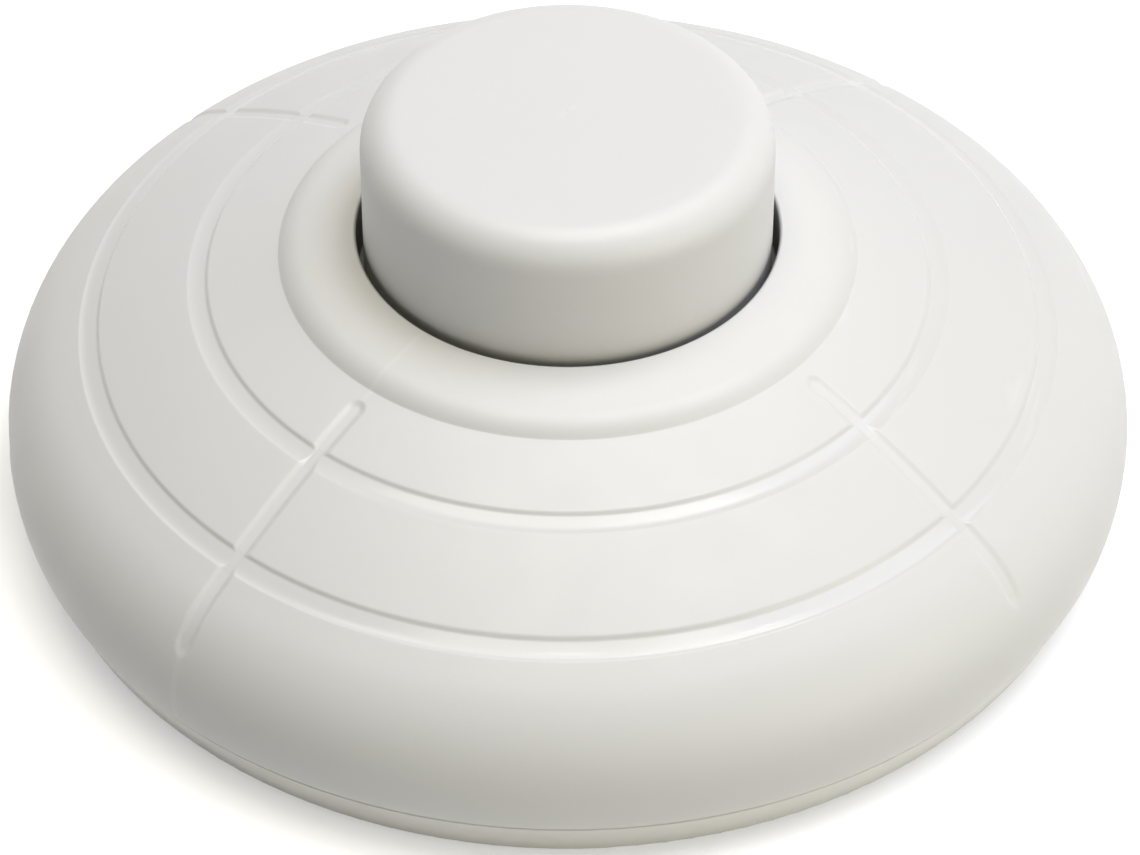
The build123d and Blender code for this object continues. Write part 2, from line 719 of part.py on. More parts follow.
# Through-terminal of the wire that is not switched
with BuildPart() as neutral_link:
    with Locations((0, link_y, floor_thickness)):
        Box(link_length, terminal_depth, terminal_height, align=on_floor)
    fillet(neutral_link.edges().filter_by(Axis.Z), block_edge_radius)
    draw_terminal_holes(link_length, link_points, floor_thickness, link_top)
neutral_link.part.label = "neutral_link"
export_step(neutral_link.part, "parts/neutral_link.step")

# Screws of the terminals
with BuildPart() as terminal_screws:
    draw_small_screws(terminal_points, terminal_top, terminal_shank_length)
    draw_small_screws(link_points, link_top, terminal_shank_length)
terminal_screws.part.label = "terminal_screws"
export_step(terminal_screws.part, "parts/terminal_screws.step")


def draw_clamp(x):
    """Draw a clamp bar across the cord at x, with the tooth that bites on the cord."""
    bar_length = 2 * (clamp_screw_y + clamp_end_margin)
    with Locations((x, 0, clamp_post_top)):
        Box(clamp_width, bar_length, clamp_thickness, align=on_floor)
        Box(clamp_tooth_width, inlet_width - clamp_tooth_width, clamp_tooth_height, align=hanging)
    with Locations(*[(x, end * clamp_screw_y, clamp_post_top) for end in (-1, 1)]):
        Cylinder(
            small_shank_diameter / 2 + shank_clearance, clamp_thickness, align=on_floor, mode=Mode.SUBTRACT
        )


# Clamp bars on the cord posts
with BuildPart() as cord_clamp_in:
    draw_clamp(-clamp_x)
    fillet(cord_clamp_in.edges().filter_by(Axis.Z).group_by(SortBy.LENGTH)[-1], block_edge_radius)
cord_clamp_in.part.label = "cord_clamp_in"
export_step(cord_clamp_in.part, "parts/cord_clamp_in.step")

with BuildPart() as cord_clamp_out:
    draw_clamp(clamp_x)
    fillet(cord_clamp_out.edges().filter_by(Axis.Z).group_by(SortBy.LENGTH)[-1], block_edge_radius)
cord_clamp_out.part.label = "cord_clamp_out"
export_step(cord_clamp_out.part, "parts/cord_clamp_out.step")

# Screws of the clamps
with BuildPart() as clamp_screws:
    draw_small_screws(clamp_points, clamp_top, clamp_shank_length)
clamp_screws.part.label = "clamp_screws"
export_step(clamp_screws.part, "parts/clamp_screws.step")
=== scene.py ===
import json
from math import acos, asin, atan2, cos, pi, radians, sin, sqrt, tan

import bpy
import numpy as np
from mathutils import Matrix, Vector


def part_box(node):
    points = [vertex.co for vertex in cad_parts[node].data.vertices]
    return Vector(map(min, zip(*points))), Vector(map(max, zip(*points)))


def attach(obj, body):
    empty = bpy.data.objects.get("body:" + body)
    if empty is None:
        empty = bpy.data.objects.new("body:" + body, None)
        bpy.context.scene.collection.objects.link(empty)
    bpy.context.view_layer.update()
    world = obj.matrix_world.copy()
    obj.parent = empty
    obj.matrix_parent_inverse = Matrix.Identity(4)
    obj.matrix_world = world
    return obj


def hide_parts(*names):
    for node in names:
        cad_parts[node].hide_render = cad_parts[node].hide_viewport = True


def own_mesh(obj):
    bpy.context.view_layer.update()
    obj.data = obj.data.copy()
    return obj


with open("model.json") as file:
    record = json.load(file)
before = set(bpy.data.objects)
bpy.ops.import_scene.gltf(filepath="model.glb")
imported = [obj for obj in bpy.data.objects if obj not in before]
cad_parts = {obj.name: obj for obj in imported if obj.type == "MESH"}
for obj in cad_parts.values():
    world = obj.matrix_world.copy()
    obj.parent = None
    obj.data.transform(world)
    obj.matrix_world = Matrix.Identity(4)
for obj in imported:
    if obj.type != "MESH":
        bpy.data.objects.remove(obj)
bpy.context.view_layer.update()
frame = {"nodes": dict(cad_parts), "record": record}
MM = 0.001

# Outline of the cover, in millimetres as in the solids
housing_radius = 31.0
seam_height = 2.86
belly_height = 4.2
shoulder_radius = 6.5
dome_height = 17.3
cover_wall = 2.0
collar_radius = 15.55
collar_rise = 0.68
collar_slope = radians(10)
collar_side_slope = radians(50)

# Push button, as in the solids
button_radius = 11.0
button_rise = 7.6
button_crown = 0.25
button_taper = 0.12
button_edge_radius = 2.0
button_wall = 1.6
button_roof = 2.0
button_clearance = 0.33
flange_width = 1.4
flange_thickness = 1.4
flange_side_clearance = 1.7
stop_clearance = 0.2

# Cord inlets, as in the solids
inlet_half_width = 3.4
inlet_bottom = 0.9
inlet_top = 5.4
inlet_corner = 0.8

# Roundings of the cover; the room is how far above the seam the skin gives way to the edge
collar_foot_radius = 0.15
collar_edge_radius = 2.0
bore_edge_radius = 0.18
seam_edge_radius = 0.12
seam_edge_room = 0.15

# Ring grooves, shallower and rounder than in the solids; a higher curve keeps the floor level for longer
ring_radii = (19.95, 26.0)
ring_curves = (3, 6)
ring_depth = 0.12
ring_half_width = 0.45
ring_inner_slope = 0.25
ring_outer_edge = 0.60

# Spoke grooves, also shallower and rounder; the band is half the width that is meshed finely
spoke_count = 4
spoke_first_angle = 45
spoke_start_gap = 0.85
spoke_end_inset = 0.8
spoke_depth = 0.13
spoke_half_width = 0.4
spoke_slope = 0.40
spoke_band = 0.84

# Return spring; the closed turns at each end rise by the closed pitch, and the ends are ground flat
spring_radius = 3.9
wire_radius = 0.4
spring_turns = 6.0
closed_turns = 0.9
closed_pitch = 0.72
ground_depth = 0.1

# Rows of the cover's mesh: the distance from row to row, and how far the fine rows reach
coarse_row = 0.42
fine_row = 0.06
fine_beside_ring = 0.75
fine_before_spoke = 0.2
fine_along_spoke = 0.7
fine_past_spoke = 0.15
foot_row_gap = 0.05

# Points on the arcs and columns round the axis; a fan's count has the edges of the bands beside it
bore_edge_points = 7
collar_top_points = 8
collar_edge_points = 16
collar_foot_points = 5
seam_edge_points = 6
inside_points = 10
band_columns = 29
fan_columns = 48
inlet_corner_points = 6
crown_points = 22
button_edge_points = 18
button_columns = 160
turn_points = 48
wire_sides = 12

# Ends of the inlet cutters, the space inside the button's rounded edge, the hole at its axis, sharp edges
cutter_start = 20.0
cutter_end = 40.0
crown_edge_gap = 0.1
axis_hole = 0.02
sharp_angle = radians(50)

# Worked out from the sizes above
bore_radius = button_radius + button_clearance
button_inside = button_radius - button_wall
flange_radius = button_radius + flange_width
stop_ring_radius = flange_radius + flange_side_clearance
shoulder_centre = housing_radius - shoulder_radius
inside_shoulder = shoulder_radius - cover_wall
dome_rise = dome_height - belly_height
dome_room = shoulder_centre**2 + dome_rise**2 - shoulder_radius**2
dome_radius = dome_room / (2 * (dome_rise - shoulder_radius))
inside_dome = dome_radius - cover_wall
dome_centre = dome_height - dome_radius
join_angle = atan2(belly_height - dome_centre, shoulder_centre)
collar_foot = dome_centre + sqrt(dome_radius**2 - collar_radius**2)
collar_corner = (collar_radius - collar_rise / tan(collar_side_slope), collar_foot + collar_rise)
collar_top = collar_corner[1] + (collar_corner[0] - bore_radius) * tan(collar_slope)
stop_height = dome_centre + sqrt(inside_dome**2 - stop_ring_radius**2)
button_top = collar_top + button_rise
spoke_start = collar_radius + spoke_start_gap
spoke_end = housing_radius - spoke_end_inset
spoke_spacing = 2 * pi / spoke_count
spoke_angles = [radians(spoke_first_angle + 360 / spoke_count * k) for k in range(spoke_count)]

# Moulded plastic: noise scales in features per metre, bump depths in metres
cloud_scale = 70
patch_scale = 420
wave_scale = 160
wave_strength = 0.25
wave_depth = 0.00006
grain_scale = 3600
grain_depth = 0.00001
noise_low = 0.3
noise_high = 0.7
plastic_smoother = 0.05
plastic_rougher = 0.06
plastic_ior = 1.5
plastic_specular = 0.38
subsurface_weight = 0.08
subsurface_depth = 0.0008
subsurface_spread = (1.0, 0.9, 0.7)
ring_roughness = 0.18

# Painted shade in the hollow corners and rub on the edges, by Pointiness, which is 0.5 on a flat face
flat_face = 0.5
corner_shade_full = 0.42
corner_shade_most = 0.35
corner_shade_tint = (0.80, 0.79, 0.76)
rub_start = 0.53
rub_full = 0.62
rub_most = 0.5
rub_gain = 1.05

# Painted shade in the gap round the button, on the bore wall and on the button's skirt
bore_painted_shade = 0.70
skirt_painted_shade = 0.40
skirt_shade_fade = 0.3
gap_shade_colour = (0.07, 0.065, 0.05)

# Metal: tarnish patches, wear by Pointiness, rolling marks and pits
tarnish_scale = 500
tarnish_low = 0.42
tarnish_high = 0.68
wear_start = 0.52
wear_full = 0.60
wear_most = 0.7
wear_gain = 1.15
mark_scale = 900
mark_strength = 0.3
mark_depth = 0.00001
pit_scale = 5000
pit_strength = 0.15
pit_depth = 0.000005
metal_smoother = 0.08
metal_rougher = 0.12

# Floor and lamps, in metres; the glow of the floor grows from near to far
white = (1.0, 1.0, 1.0)
floor_reach = 3
floor_drop = 0.0001
floor_colour = (0.80, 0.80, 0.80)
floor_roughness = 0.9
glow_near = 0.15
glow_far = 0.9
glow_least = 0.45
lamp_target = Vector((0, 0, 0.012))
soft_box_distance = 0.9
soft_box_size = 0.6
glint_distance = 0.7

# Camera: its sensor in millimetres, and the nearest that it sees in metres
sensor_width = 36
nearest_view = 0.01


def arc(centre, radius, start, end, count):
    """Points on an arc in the half plane, angles in radians."""
    angles = np.linspace(start, end, count)
    return [(centre[0] + radius * cos(a), centre[1] + radius * sin(a)) for a in angles]


def rounded(path, corners):
    """A path with some corners rounded; corners maps a point's index to a radius and a count of points."""
    out = []
    for i, point in enumerate(path):
        if i not in corners:
            out.append(point)
            continue
        radius, count = corners[i]
        here = Vector(point)
        back = (Vector(path[i - 1]) - here).normalized()
        on = (Vector(path[(i + 1) % len(path)]) - here).normalized()
        half = back.angle(on) / 2
        reach = radius * cos(half) / sin(half)
        middle = here + (back + on).normalized() * (radius / sin(half))
        first = here + back * reach - middle
        last = here + on * reach - middle
        start = atan2(first.y, first.x)
        end = atan2(last.y, last.x)
        if end - start > pi:
            end -= 2 * pi
        if start - end > pi:
            end += 2 * pi
        out += arc(middle, radius, start, end, count)
    return out


def mesh_piece(name, points, faces, body, node):
    """A smooth piece from points in millimetres, which rides on a body and stands for a node."""
    mesh = bpy.data.meshes.new(name)
    mesh.from_pydata(np.asarray(points) * MM, [], faces)
    mesh.validate()
    mesh.shade_smooth()
    piece = bpy.data.objects.new(name, mesh)
    bpy.context.scene.collection.objects.link(piece)
    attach(piece, body)
    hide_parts(node)
    return piece


def ring_faces(rows, columns, closed):
    """Quads between rows of points that each run right round; closed joins the last row to the first."""
    faces = []
    for row in range(rows if closed else rows - 1):
        near = row * columns
        far = (row + 1) % rows * columns
        for column in range(columns):
            beside = (column + 1) % columns
            faces.append((far + column, far + beside, near + beside, near + column))
    return faces


def skin_rows():
    """Points of the dome and shoulder from the collar foot out to the seam, with outward directions."""
    dome_end = asin((collar_foot - dome_centre) / dome_radius)
    dome_length = dome_radius * (dome_end - join_angle)
    seam_angle = asin((seam_height - belly_height) / shoulder_radius)
    total = dome_length + shoulder_radius * (join_angle - seam_angle)
    fine = [(ring - fine_beside_ring, ring + fine_beside_ring) for ring in ring_radii]
    fine.append((spoke_start - fine_before_spoke, spoke_start + fine_along_spoke))
    fine.append((spoke_end - fine_along_spoke, spoke_end + fine_past_spoke))
    rows = []
    done = 0.0
    while done < total:
        if done < dome_length:
            a = dome_end - done / dome_radius
            r = dome_radius * cos(a)
            z = dome_centre + dome_radius * sin(a)
        else:
            a = join_angle - (done - dome_length) / shoulder_radius
            r = shoulder_centre + shoulder_radius * cos(a)
            z = belly_height + shoulder_radius * sin(a)
        rows.append((r, z, cos(a), sin(a)))
        near = z > belly_height and any(low - coarse_row < r < high for low, high in fine)
        done += fine_row if near else coarse_row
    return rows


def without_grooves(points):
    """Rows that no groove is pressed into: their outward direction is zero."""
    return [(r, z, 0.0, 0.0) for r, z in points]


def collar_points(skin):
    """Points from the stop in the bore, up over the collar and down to the dome."""
    corners = [
        (bore_radius, stop_height),
        (bore_radius, collar_top),
        collar_corner,
        (collar_radius, collar_foot),
        skin[1][:2],
    ]
    roundings = {
        1: (bore_edge_radius, bore_edge_points),
        2: (collar_edge_radius, collar_edge_points),
        3: (collar_foot_radius, collar_foot_points),
    }
    points = rounded(corners, roundings)[:-1]
    # The collar's straight top lies between the bore edge and the collar edge
    inner = points[: bore_edge_points + 1]
    outer = points[bore_edge_points + 1 :]
    top = np.linspace(inner[-1], outer[0], collar_top_points)[1:-1]
    return inner + [tuple(point) for point in top] + outer


def cover_rows():
    """Rows of the cover, each a radius, a height and an outward direction, once round its section."""
    skin = skin_rows()
    collar = collar_points(skin)
    start = next(i for i, row in enumerate(skin) if row[0] > collar[-1][0] + foot_row_gap)
    skin = [row for row in skin[start:-1] if row[1] > seam_height + seam_edge_room]
    seam_radius = shoulder_centre + sqrt(shoulder_radius**2 - (belly_height - seam_height) ** 2)
    seam_angle = asin((seam_height - belly_height) / inside_shoulder)
    seam_inside = shoulder_centre + inside_shoulder * cos(seam_angle)
    turn = [skin[-1][:2], (seam_radius, seam_height), (seam_inside, seam_height)]
    back = rounded(turn, {1: (seam_edge_radius, seam_edge_points)})[1:]
    stop_angle = acos(stop_ring_radius / inside_dome)
    back += arc((shoulder_centre, belly_height), inside_shoulder, seam_angle, join_angle, inside_points)[1:]
    back += arc((0, dome_centre), inside_dome, join_angle, stop_angle, inside_points)[1:]
    return np.array(without_grooves(collar) + skin + without_grooves(back))


def cover_columns(radius):
    """Angles of the columns on each row, and how far each point is from its spoke's middle line.

    Bands of even offsets lie along the spokes, and the fans between them start and end finely.
    In a fan the offset stays at the band's edge, which is clear of the groove.
    """
    offsets = np.linspace(-spoke_band, spoke_band, band_columns)
    fan = (1 - np.cos(np.linspace(0, pi, fan_columns)[1:-1])) / 2
    band = np.arcsin(offsets / radius)
    edge = np.arcsin(spoke_band / radius)
    in_band = np.broadcast_to(offsets, band.shape)
    in_fan = np.full((len(radius), len(fan)), spoke_band)
    angles = []
    away = []
    for axis in spoke_angles:
        angles += [axis + band, axis + edge + fan * (spoke_spacing - 2 * edge)]
        away += [in_band, in_fan]
    return np.concatenate(angles, axis=1), np.concatenate(away, axis=1)


def step(t):
    """Smooth step from 0 to 1."""
    t = np.clip(t, 0, 1)
    return t * t * (3 - 2 * t)


def ring_groove(offset, curve):
    """Depth of a ring groove at an offset outwards from its middle: a steep wall, then a floor curving up."""
    wall = step((ring_half_width + offset) / ring_inner_slope + 0.5)
    across = np.clip((offset + ring_half_width) / (ring_outer_edge + ring_half_width), 0, 1)
    return ring_depth * wall * (1 - across**curve)


def spoke_groove(distance):
    """Depth of a spoke groove at a distance from its middle line."""
    return spoke_depth * step((spoke_half_width - distance) / spoke_slope + 0.5)


def groove_depth(radius, offset):
    """Depth of whichever groove is deepest, by the distance to the axis and the offset from a spoke."""
    along = np.sqrt(radius**2 - offset**2)
    before = spoke_start + spoke_half_width - along
    beyond = along - (spoke_end - spoke_half_width)
    past_end = np.maximum(np.maximum(before, beyond), 0)
    depth = spoke_groove(np.hypot(past_end, offset))
    for ring, curve in zip(ring_radii, ring_curves):
        depth = np.maximum(depth, ring_groove(radius - ring, curve))
    return depth


def make_cover():
    """The domed cover, its grooves pressed into the skin."""
    rows = cover_rows()
    radius, height, outward, upward = rows.T[:, :, None]
    angle, offset = cover_columns(radius)
    depth = groove_depth(radius, offset)
    r = radius - depth * outward
    z = height - depth * upward
    points = np.stack([r * np.cos(angle), r * np.sin(angle), z], axis=-1).reshape(-1, 3)
    faces = ring_faces(len(rows), angle.shape[1], closed=True)
    return mesh_piece("cover_shell", points, faces, "housing", "top_cover")


def inlet_cutter(outline, side):
    """A bar with the outline of an inlet, out along X on one side."""
    count = len(outline)
    points = [(side * cutter_start, y, z) for y, z in outline]
    points += [(side * cutter_end, y, z) for y, z in outline]
    faces = [tuple(range(count))[::-1], tuple(range(count, 2 * count))]
    faces += [(i, (i + 1) % count, count + (i + 1) % count, count + i) for i in range(count)]
    if side < 0:
        faces = [face[::-1] for face in faces]
    mesh = bpy.data.meshes.new("inlet_cutter")
    mesh.from_pydata(np.asarray(points) * MM, [], faces)
    cutter = bpy.data.objects.new("inlet_cutter", mesh)
    bpy.context.scene.collection.objects.link(cutter)
    return cutter


def cut_inlets(piece):
    """Cut the two cord inlets through a piece."""
    corners = [
        (-inlet_half_width, inlet_bottom),
        (inlet_half_width, inlet_bottom),
        (inlet_half_width, inlet_top),
        (-inlet_half_width, inlet_top),
    ]
    outline = rounded(corners, {i: (inlet_corner, inlet_corner_points) for i in range(len(corners))})
    for side in (-1, 1):
        cutter = inlet_cutter(outline, side)
        cut = piece.modifiers.new("inlet", "BOOLEAN")
        cut.operation = "DIFFERENCE"
        cut.solver = "EXACT"
        cut.object = cutter
        graph = bpy.context.evaluated_depsgraph_get()
        made = bpy.data.meshes.new_from_object(piece.evaluated_get(graph))
        piece.modifiers.remove(cut)
        piece.data = made
        bpy.data.objects.remove(cutter)
    piece.data.shade_smooth()
    piece.data.set_sharp_from_angle(angle=sharp_angle)


def make_button():
    """The push button: crowned cap, soft edge, straight skirt and stop flange, turned about the axis."""
    crown_radius = button_radius - button_taper
    sphere = (crown_radius**2 + button_crown**2) / (2 * button_crown)
    flange_top = stop_height - stop_clearance
    flange_bottom = flange_top - flange_thickness
    roof = button_top - button_roof
    radii = np.linspace(axis_hole, crown_radius, crown_points)
    crown = [(r, button_top - sphere + sqrt(sphere**2 - r**2)) for r in radii]
    path = [point for point in crown if point[0] < crown_radius - button_edge_radius - crown_edge_gap]
    edge_at = len(path)
    path += [
        crown[-1],
        (button_radius, flange_top),
        (flange_radius, flange_top),
        (flange_radius, flange_bottom),
        (button_inside, flange_bottom),
        (button_inside, roof),
        (axis_hole, roof),
    ]
    profile = rounded(path, {edge_at: (button_edge_radius, button_edge_points)})
    turn = np.linspace(0, 2 * pi, button_columns, endpoint=False)
    points = [(r * cos(a), r * sin(a), z) for r, z in profile for a in turn]
    faces = ring_faces(len(profile), button_columns, closed=True)
    button = mesh_piece("button_cap", points, faces, "button", "push_button")
    button.data.set_sharp_from_angle(angle=sharp_angle)
    return button


def make_spring():
    """The return spring, closed and ground flat at both ends."""
    low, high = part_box("return_spring")
    seat = low.z / MM
    crown = high.z / MM
    open_turns = spring_turns - 2 * closed_turns
    open_rise = crown - seat - 2 * wire_radius - 2 * closed_turns * closed_pitch
    count = int(spring_turns * turn_points)
    points = []
    for i in range(count + 1):
        turn = i / turn_points
        open_share = min(max((turn - closed_turns) / open_turns, 0), 1)
        height = min(turn, closed_turns) * closed_pitch + open_share * open_rise
        height += max(turn - spring_turns + closed_turns, 0) * closed_pitch
        a = 2 * pi * turn
        for side in range(wire_sides):
            b = 2 * pi * side / wire_sides
            r = spring_radius + wire_radius * cos(b)
            z = seat + wire_radius + height + wire_radius * sin(b)
            z = min(max(z, seat + ground_depth), crown - ground_depth)
            points.append((r * cos(a), r * sin(a), z))
    faces = ring_faces(count + 1, wire_sides, closed=False)
    faces.append(tuple(range(wire_sides))[::-1])
    faces.append(tuple(range(count * wire_sides, (count + 1) * wire_sides)))
    spring = mesh_piece("coil_spring", points, faces, "housing", "return_spring")
    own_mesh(spring)
    return spring


def material(name, colour, roughness, metallic=0.0):
    """A new material, with its node tree and its shader."""
    made = bpy.data.materials.new(name)
    made.use_nodes = True
    tree = made.node_tree
    shader = tree.nodes["Principled BSDF"]
    shader.inputs["Base Color"].default_value = (*colour, 1)
    shader.inputs["Roughness"].default_value = roughness
    shader.inputs["Metallic"].default_value = metallic
    return made, tree, shader


def own_place(tree):
    """A point's place in its piece's own coordinates, in metres."""
    return tree.nodes.new("ShaderNodeTexCoord").outputs["Object"]


def noise(tree, scale, detail, stretch=None):
    """Noise in a piece's own coordinates; scale is in features per metre."""
    place = own_place(tree)
    texture = tree.nodes.new("ShaderNodeTexNoise")
    texture.inputs["Scale"].default_value = scale
    texture.inputs["Detail"].default_value = detail
    if stretch:
        mapping = tree.nodes.new("ShaderNodeMapping")
        mapping.inputs["Scale"].default_value = stretch
        tree.links.new(place, mapping.inputs["Vector"])
        place = mapping.outputs["Vector"]
    tree.links.new(place, texture.inputs["Vector"])
    return texture.outputs["Fac"]


def ramp(tree, value, low, high, start, end):
    """Map a value from low..high to start..end, held at the ends."""
    node = tree.nodes.new("ShaderNodeMapRange")
    node.inputs["From Min"].default_value = low
    node.inputs["From Max"].default_value = high
    node.inputs["To Min"].default_value = start
    node.inputs["To Max"].default_value = end
    tree.links.new(value, node.inputs["Value"])
    return node.outputs["Result"]


def mix(tree, factor, first, second):
    """Mix two colours, each a tuple or a socket."""
    node = tree.nodes.new("ShaderNodeMix")
    node.data_type = "RGBA"
    tree.links.new(factor, node.inputs["Factor"])
    for value, name in ((first, "A"), (second, "B")):
        socket = next(s for s in node.inputs if s.name == name and s.type == "RGBA")
        if isinstance(value, tuple):
            socket.default_value = (*value, 1)
        else:
            tree.links.new(value, socket)
    return next(s for s in node.outputs if s.type == "RGBA")


def largest(tree, values):
    """The largest of several values."""
    most = values[0]
    for value in values[1:]:
        node = tree.nodes.new("ShaderNodeMath")
        node.operation = "MAXIMUM"
        tree.links.new(most, node.inputs[0])
        tree.links.new(value, node.inputs[1])
        most = node.outputs[0]
    return most


def length(tree, vector):
    """The length of a vector."""
    node = tree.nodes.new("ShaderNodeVectorMath")
    node.operation = "LENGTH"
    tree.links.new(vector, node.inputs[0])
    return node.outputs["Value"]


def axis_distance(tree):
    """Distance to the part's axis, in metres."""
    level = tree.nodes.new("ShaderNodeVectorMath")
    level.operation = "MULTIPLY"
    level.inputs[1].default_value = (1, 1, 0)
    tree.links.new(own_place(tree), level.inputs[0])
    return length(tree, level.outputs["Vector"])


def bumps(tree, shader, layers):
    """Stack bump layers; each is a height socket, its strength and its depth in metres."""
    normal = None
    for height, strength, depth in layers:
        node = tree.nodes.new("ShaderNodeBump")
        node.inputs["Strength"].default_value = strength
        node.inputs["Distance"].default_value = depth
        tree.links.new(height, node.inputs["Height"])
        if normal:
            tree.links.new(normal, node.inputs["Normal"])
        normal = node.outputs["Normal"]
    tree.links.new(normal, shader.inputs["Normal"])


def brighter(colour, gain):
    """A colour with more light, up to white."""
    return tuple(min(part * gain, 1.0) for part in colour)


def shade_on_bore(tree):
    """Painted shade on the wall of the button's bore, fading out over its rounded edge."""
    clean = bore_radius + bore_edge_radius
    return ramp(tree, axis_distance(tree), bore_radius * MM, clean * MM, bore_painted_shade, 0.0)


def shade_below_collar(tree):
    """Painted shade on the skirt of the button inside the bore, fading out up to the collar's edge."""
    split = tree.nodes.new("ShaderNodeSeparateXYZ")
    tree.links.new(own_place(tree), split.inputs["Vector"])
    shaded_from = collar_top - skirt_shade_fade
    return ramp(tree, split.outputs["Z"], shaded_from * MM, collar_top * MM, skirt_painted_shade, 0.0)


def in_rings(tree):
    """1 in the ring grooves and 0 elsewhere, from the distance to the axis."""
    distance = axis_distance(tree)
    found = []
    for ring in ring_radii:
        near = tree.nodes.new("ShaderNodeMath")
        near.operation = "COMPARE"
        near.inputs[1].default_value = ring * MM
        near.inputs[2].default_value = ring_outer_edge * MM
        tree.links.new(distance, near.inputs[0])
        found.append(near.outputs[0])
    return largest(tree, found)


def moulded(name, colour, shade, roughness, grain, gap_shade=None, polished=None):
    """Moulded plastic: faint flow clouds, painted shade in the hollow corners and in the button's gap, rubbed
    edges and a fine skin grain.
    """
    made, tree, shader = material(name, colour, roughness)
    clouds = ramp(tree, noise(tree, cloud_scale, detail=4), noise_low, noise_high, 0.0, 1.0)
    tone = mix(tree, clouds, colour, shade)
    corner = tree.nodes.new("ShaderNodeNewGeometry").outputs["Pointiness"]
    # Painted shade: hollow corners darkened, by Pointiness
    corner_shade = ramp(tree, corner, flat_face, corner_shade_full, 0.0, corner_shade_most)
    corner_shade_colour = tuple(part * tint for part, tint in zip(shade, corner_shade_tint))
    tone = mix(tree, corner_shade, tone, corner_shade_colour)
    rub = ramp(tree, corner, rub_start, rub_full, 0.0, rub_most)
    tone = mix(tree, rub, tone, brighter(colour, rub_gain))
    # Painted shade: a dark colour in the gap round the button, where shade falls
    if gap_shade:
        tone = mix(tree, gap_shade(tree), tone, gap_shade_colour)
    tree.links.new(tone, shader.inputs["Base Color"])
    smooth = roughness - plastic_smoother
    rough = roughness + plastic_rougher
    skin = ramp(tree, noise(tree, patch_scale, detail=5), noise_low, noise_high, smooth, rough)
    if polished:
        gloss = tree.nodes.new("ShaderNodeMapRange")
        gloss.inputs["To Max"].default_value = ring_roughness
        tree.links.new(polished(tree), gloss.inputs["Value"])
        tree.links.new(skin, gloss.inputs["To Min"])
        skin = gloss.outputs["Result"]
    tree.links.new(skin, shader.inputs["Roughness"])
    shader.inputs["IOR"].default_value = plastic_ior
    shader.inputs["Specular IOR Level"].default_value = plastic_specular
    shader.inputs["Subsurface Weight"].default_value = subsurface_weight
    shader.inputs["Subsurface Scale"].default_value = subsurface_depth
    shader.inputs["Subsurface Radius"].default_value = subsurface_spread
    waves = (noise(tree, wave_scale, detail=2), wave_strength, wave_depth)
    fine_grain = (noise(tree, grain_scale, detail=2), grain, grain_depth)
    bumps(tree, shader, [waves, fine_grain])
    return made


def metal(name, colour, tarnish, roughness, brushed):
    """Plated or rolled metal: tarnish patches, rolling marks and worn bright edges."""
    made, tree, shader = material(name, colour, roughness, metallic=1.0)
    patches = ramp(tree, noise(tree, tarnish_scale, detail=6), tarnish_low, tarnish_high, 0.0, 1.0)
    tone = mix(tree, patches, colour, tarnish)
    corner = tree.nodes.new("ShaderNodeNewGeometry").outputs["Pointiness"]
    worn = ramp(tree, corner, wear_start, wear_full, 0.0, wear_most)
    tone = mix(tree, worn, tone, brighter(colour, wear_gain))
    tree.links.new(tone, shader.inputs["Base Color"])
    marks = noise(tree, mark_scale, detail=4, stretch=brushed)
    smooth = roughness - metal_smoother
    rough = roughness + metal_rougher
    tree.links.new(ramp(tree, marks, noise_low, noise_high, smooth, rough), shader.inputs["Roughness"])
    pits = (noise(tree, pit_scale, detail=2), pit_strength, pit_depth)
    bumps(tree, shader, [(marks, mark_strength, mark_depth), pits])
    return made


def paint(thing, finish):
    """Give a piece or a node its finish."""
    thing.data.materials.clear()
    thing.data.materials.append(finish)


def backdrop_seen(tree):
    """1 for the rays that show the backdrop: from the camera, mirrored or passed through."""
    path = tree.nodes.new("ShaderNodeLightPath")
    rays = ("Is Camera Ray", "Is Glossy Ray", "Is Transmission Ray")
    return largest(tree, [path.outputs[ray] for ray in rays])


def make_floor():
    """A wide pale floor that reads white away from the shadow."""
    corners = [(-1, -1), (1, -1), (1, 1), (-1, 1)]
    mesh = bpy.data.meshes.new("floor")
    mesh.from_pydata([(floor_reach * x, floor_reach * y, 0) for x, y in corners], [], [(0, 1, 2, 3)])
    floor = bpy.data.objects.new("floor", mesh)
    bpy.context.scene.collection.objects.link(floor)
    floor.location.z = -floor_drop
    made, tree, shader = material("floor", floor_colour, floor_roughness)
    shader.inputs["Specular IOR Level"].default_value = 0.0
    # The glow takes over from the lamps away from the part
    distance = length(tree, own_place(tree))
    glow = tree.nodes.new("ShaderNodeMath")
    glow.operation = "MULTIPLY"
    tree.links.new(backdrop_seen(tree), glow.inputs[0])
    tree.links.new(ramp(tree, distance, glow_near, glow_far, glow_least, 1.0), glow.inputs[1])
    shader.inputs["Emission Color"].default_value = (*white, 1)
    tree.links.new(glow.outputs[0], shader.inputs["Emission Strength"])
    mesh.materials.append(made)


def make_world(level, tint):
    """A little even light from all round, and white where the backdrop is seen."""
    world = bpy.data.worlds.new("studio")
    world.use_nodes = True
    tree = world.node_tree
    shader = tree.nodes["Background"]
    seen = backdrop_seen(tree)
    tree.links.new(mix(tree, seen, tint, white), shader.inputs["Color"])
    tree.links.new(ramp(tree, seen, 0, 1, level, 1.0), shader.inputs["Strength"])
    bpy.context.scene.world = world


def make_light(name, direction, distance, size, power, colour):
    """A square lamp that faces the part."""
    data = bpy.data.lights.new(name, "AREA")
    data.shape = "SQUARE"
    data.size = size
    data.energy = power
    data.color = colour
    lamp = bpy.data.objects.new(name, data)
    bpy.context.scene.collection.objects.link(lamp)
    aim = Vector(direction).normalized()
    lamp.location = aim * distance + lamp_target
    lamp.rotation_mode = "QUATERNION"
    lamp.rotation_quaternion = aim.to_track_quat("Z", "Y")


